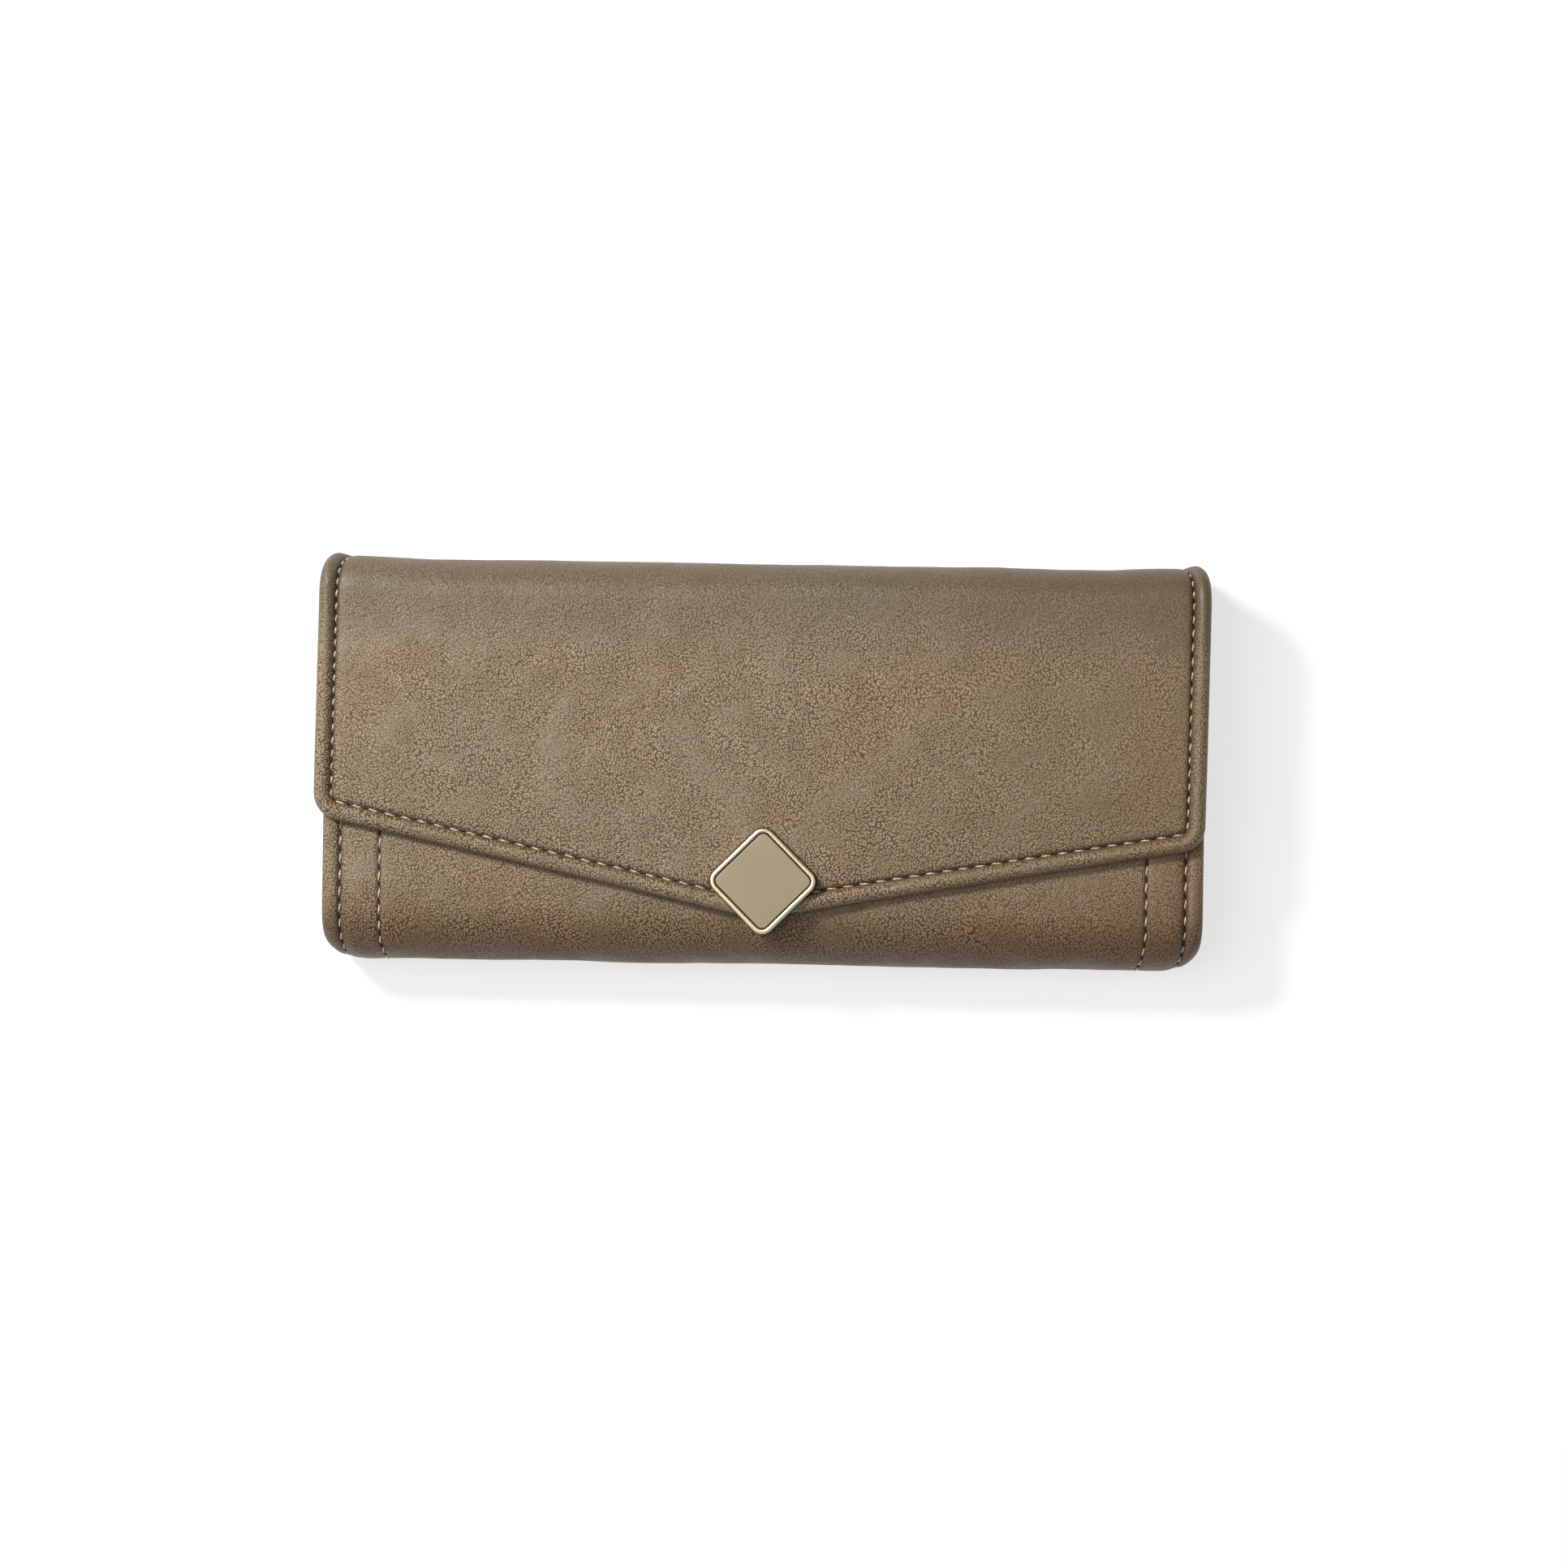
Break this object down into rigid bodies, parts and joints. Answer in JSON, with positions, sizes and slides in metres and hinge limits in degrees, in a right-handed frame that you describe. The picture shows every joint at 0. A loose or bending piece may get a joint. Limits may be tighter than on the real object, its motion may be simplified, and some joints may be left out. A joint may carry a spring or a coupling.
{
  "type": "long wallet",
  "caption": "Long envelope wallet with a pointed snap flap, folding front panel, banknote compartments, card pockets and a zipped coin pocket.",
  "frame": {"origin": "middle of the back, on the surface that the closed wallet lies on", "axes": "+X along the wallet, +Y towards the top fold that the flap hangs from, +Z out of the front"},
  "size_m": [0.196, 0.088, 0.0304],
  "materials": {
    "cover_leather": "fine pebbled grain, satin",
    "inner_leather": "smooth, satin",
    "lining": "fine twill, matt",
    "board": "matt",
    "padding": "foam, matt",
    "thread": "waxed thread",
    "pale_gold": "polished pale gold plate",
    "brass": "polished",
    "magnet": "matt black",
    "inlay": "smooth taupe lacquer",
    "zip_tape": "woven, matt"
  },
  "bodies": {
    "back": {"back_board": "board", "back_card_pocket_1": "inner_leather", "back_card_pocket_2": "inner_leather", "back_card_pocket_3": "inner_leather", "back_leather": "cover_leather", "back_lining": "lining", "back_thread_left_edge": "thread", "back_thread_left_gusset": "thread", "back_thread_right_edge": "thread", "back_thread_right_gusset": "thread", "rear_gusset_left": "inner_leather", "rear_gusset_right": "inner_leather"},
    "spine": {"spine_leather": "cover_leather", "spine_lining": "lining"},
    "flap": {"emblem_frame": "pale_gold", "emblem_inlay": "inlay", "emblem_rivet_left": "brass", "emblem_rivet_right": "brass", "flap_board": "board", "flap_leather": "cover_leather", "flap_lining": "lining", "flap_padding": "padding", "flap_thread": "thread", "snap_stud": "brass"},
    "front": {"bottom_fold_leather": "cover_leather", "bottom_fold_lining": "lining", "front_board": "board", "front_card_pocket_1": "inner_leather", "front_card_pocket_2": "inner_leather", "front_card_pocket_3": "inner_leather", "front_gusset_left": "inner_leather", "front_gusset_right": "inner_leather", "front_leather": "cover_leather", "front_lining": "lining", "front_thread_left_edge": "thread", "front_thread_left_gusset": "thread", "front_thread_right_edge": "thread", "front_thread_right_gusset": "thread", "snap_base_plate": "brass", "snap_magnet": "magnet", "snap_socket": "brass"},
    "coin_pocket": {"coin_pocket_bottom": "inner_leather", "coin_pocket_front_wall": "inner_leather", "coin_pocket_rear_wall": "inner_leather", "coin_pocket_side_left": "inner_leather", "coin_pocket_side_right": "inner_leather", "zip_end_tab_left": "inner_leather", "zip_end_tab_right": "inner_leather", "zip_stop_left": "brass", "zip_stop_right": "brass", "zip_tape_front": "zip_tape", "zip_tape_rear": "zip_tape", "zip_teeth_front": "brass", "zip_teeth_rear": "brass"},
    "zip_slider": {"zip_slider": "brass"},
    "zip_pull": {"zip_pull": "brass"}
  },
  "joints": [
    {"name": "spine_fold", "type": "hinge", "parent": "back", "child": "spine", "pos_m": [0, 0.04127, 0.00273], "axis": [-1, 0, 0], "range_deg": [0, 88.8]},
    {"name": "flap_fold", "type": "hinge", "parent": "spine", "child": "flap", "pos_m": [0, 0.04127, 0.02487], "axis": [-1, 0, 0], "range_deg": [0, 88.8]},
    {"name": "front_panel_fold", "type": "hinge", "parent": "back", "child": "front", "pos_m": [0, -0.032, 0.012], "axis": [1, 0, 0], "range_deg": [0, 24], "deforming": ["front_gusset_left", "front_gusset_right"]},
    {"name": "coin_pocket_fold", "type": "hinge", "parent": "back", "child": "coin_pocket", "pos_m": [0, -0.032, 0.012], "axis": [1, 0, 0], "range_deg": [0, 12], "deforming": ["rear_gusset_left", "rear_gusset_right"]},
    {"name": "zip_slide", "type": "slide", "parent": "coin_pocket", "child": "zip_slider", "axis": [-1, 0, 0], "range_m": [0, 0.14]},
    {"name": "zip_pull_swing", "type": "hinge", "parent": "zip_slider", "child": "zip_pull", "pos_m": [0.07, 0.0234, 0.012], "axis": [0, 0, -1], "range_deg": [0, 180]}
  ],
  "couplings": [
    {"joint": "flap_fold", "follows": "spine_fold", "ratio": 1},
    {"joint": "front_panel_fold", "follows": "spine_fold", "ratio": 0.27},
    {"joint": "coin_pocket_fold", "follows": "spine_fold", "ratio": 0.135}
  ]
}
